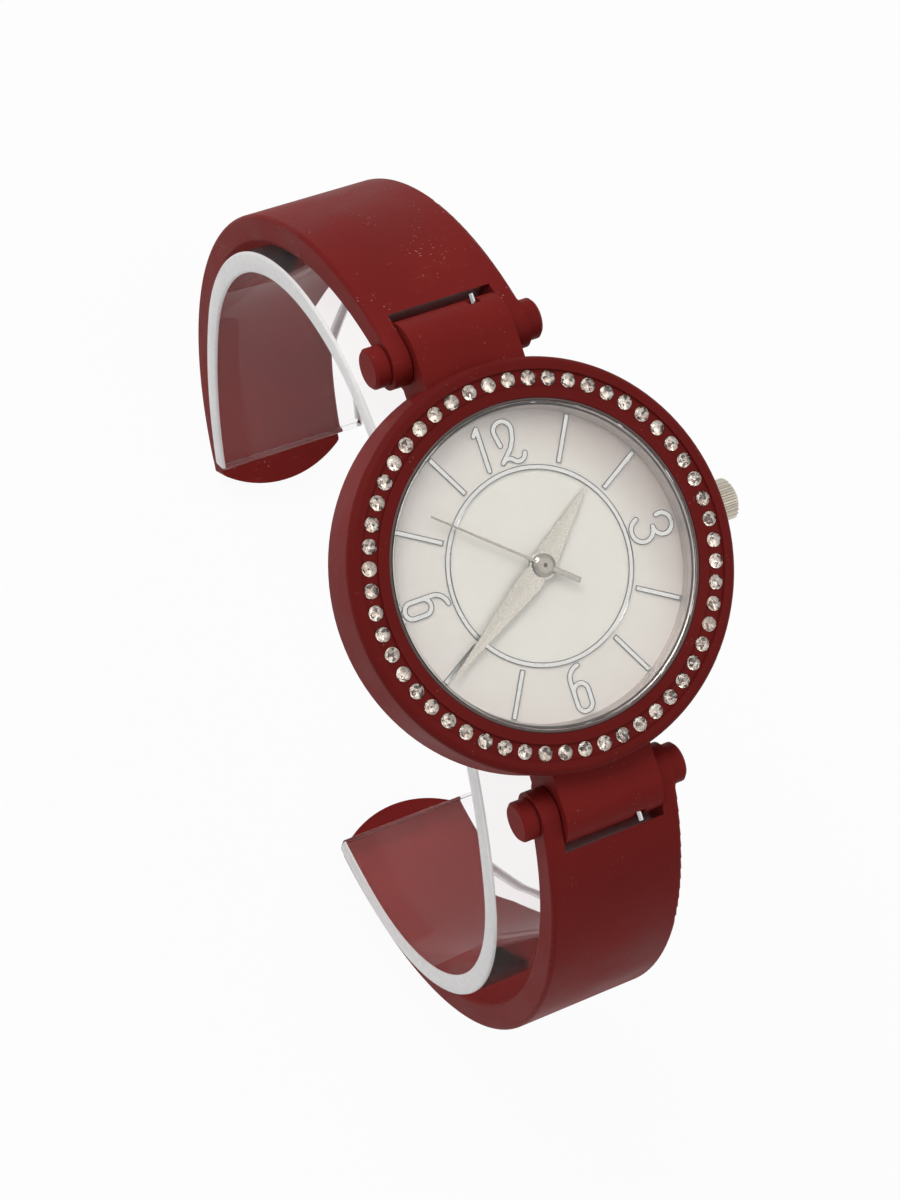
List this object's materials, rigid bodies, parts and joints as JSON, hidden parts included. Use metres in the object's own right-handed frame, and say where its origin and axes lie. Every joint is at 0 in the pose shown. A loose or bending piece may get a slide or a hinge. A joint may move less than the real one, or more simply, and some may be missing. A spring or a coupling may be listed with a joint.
{
  "type": "bangle watch",
  "caption": "Round watch head ringed with small stones, its two sprung cuff arms on pin hinges, a pull-out crown and a clear open strip that holds the cuff in shape.",
  "frame": {"origin": "middle of the underside of the bounding box, at the height of the arm tips that the watch stands on", "axes": "+X to the crown at 3 o'clock, +Y to 12 o'clock across both hinges, +Z out of the dial"},
  "size_m": [0.0406, 0.0854, 0.0651],
  "materials": {
    "lacquer_case": "satin burgundy lacquer over cast metal",
    "lacquer_arm": "satin burgundy lacquer over cast metal, faint scuffs",
    "stone": "clear faceted stones",
    "clear_glass": "clear polished mineral glass",
    "clear_insert": "clear polished plastic strip",
    "grey_gasket": "grey fitted plastic ring",
    "black_rubber": "black rubber",
    "pearl_dial": "pearly silver white lacquer",
    "silver_ring": "turned silver ring",
    "polished_steel": "polished silver plating",
    "satin_steel": "satin steel",
    "spring_steel": "bright drawn wire",
    "brass": "plain turned brass",
    "white_plastic": "moulded white plastic",
    "board_green": "green circuit board",
    "copper_wire": "fine wound copper wire",
    "cell_steel": "plated steel can"
  },
  "bodies": {
    "head": {"case_body": "lacquer_case", "bezel_stones": "stone", "glass": "clear_glass", "glass_gasket": "grey_gasket", "flange_ring": "silver_ring", "dial": "pearl_dial", "dial_circle": "polished_steel", "hour_bars": "polished_steel", "numerals": "polished_steel", "movement_holder": "white_plastic", "main_plate": "satin_steel", "train_bridge": "brass", "movement_screws": "satin_steel", "circuit_board": "board_green", "motor_coil": "copper_wire", "battery": "cell_steel", "battery_clip": "satin_steel", "crown_tube": "satin_steel", "case_back": "satin_steel", "back_gasket": "black_rubber", "upper_spring": "spring_steel", "lower_spring": "spring_steel"},
    "minutes": {"minute_hand": "polished_steel", "cannon_pinion": "brass"},
    "hours": {"hour_hand": "polished_steel", "hour_wheel": "brass"},
    "seconds": {"second_hand": "polished_steel", "seconds_arbor": "satin_steel"},
    "crown_slider": {"setting_lever": "satin_steel"},
    "crown_set": {"crown": "polished_steel", "stem": "satin_steel", "stem_gasket": "black_rubber"},
    "arm_12": {"upper_arm": "lacquer_arm", "upper_pin": "satin_steel", "upper_caps": "lacquer_arm"},
    "arm_6": {"lower_arm": "lacquer_arm", "lower_pin": "satin_steel", "lower_caps": "lacquer_arm"},
    "cuff_strip": {"display_cuff": "clear_insert"}
  },
  "joints": [
    {"name": "minute_turn", "type": "hinge", "parent": "head", "child": "minutes", "pos_m": [-0.00125, 0.00228, 0.06356], "axis": [0, 0, -1], "continuous": true},
    {"name": "hour_turn", "type": "hinge", "parent": "head", "child": "hours", "pos_m": [-0.00125, 0.00228, 0.06326], "axis": [0, 0, -1], "continuous": true},
    {"name": "second_turn", "type": "hinge", "parent": "head", "child": "seconds", "pos_m": [-0.00125, 0.00228, 0.06386], "axis": [0, 0, -1], "continuous": true},
    {"name": "crown_pull", "type": "slide", "parent": "head", "child": "crown_slider", "axis": [1, 0, 0], "range_m": [0, 0.001]},
    {"name": "crown_turn", "type": "hinge", "parent": "crown_slider", "child": "crown_set", "pos_m": [0.01875, 0.00228, 0.06096], "axis": [1, 0, 0], "continuous": true},
    {"name": "arm_12_swing", "type": "hinge", "parent": "head", "child": "arm_12", "pos_m": [-0.00125, 0.02397, 0.05947], "axis": [1, 0, 0], "range_deg": [0, 28], "stiffness_Nm_per_rad": 0.35},
    {"name": "arm_6_swing", "type": "hinge", "parent": "head", "child": "arm_6", "pos_m": [-0.00125, -0.01941, 0.05947], "axis": [-1, 0, 0], "range_deg": [0, 18], "stiffness_Nm_per_rad": 0.35},
    {"name": "strip_slide", "type": "slide", "parent": "head", "child": "cuff_strip", "axis": [-1, 0, 0], "range_m": [0, 0.03]}
  ],
  "couplings": [
    {"joint": "minute_turn", "follows": "second_turn", "ratio": 0.016667},
    {"joint": "hour_turn", "follows": "second_turn", "ratio": 0.0013889}
  ]
}
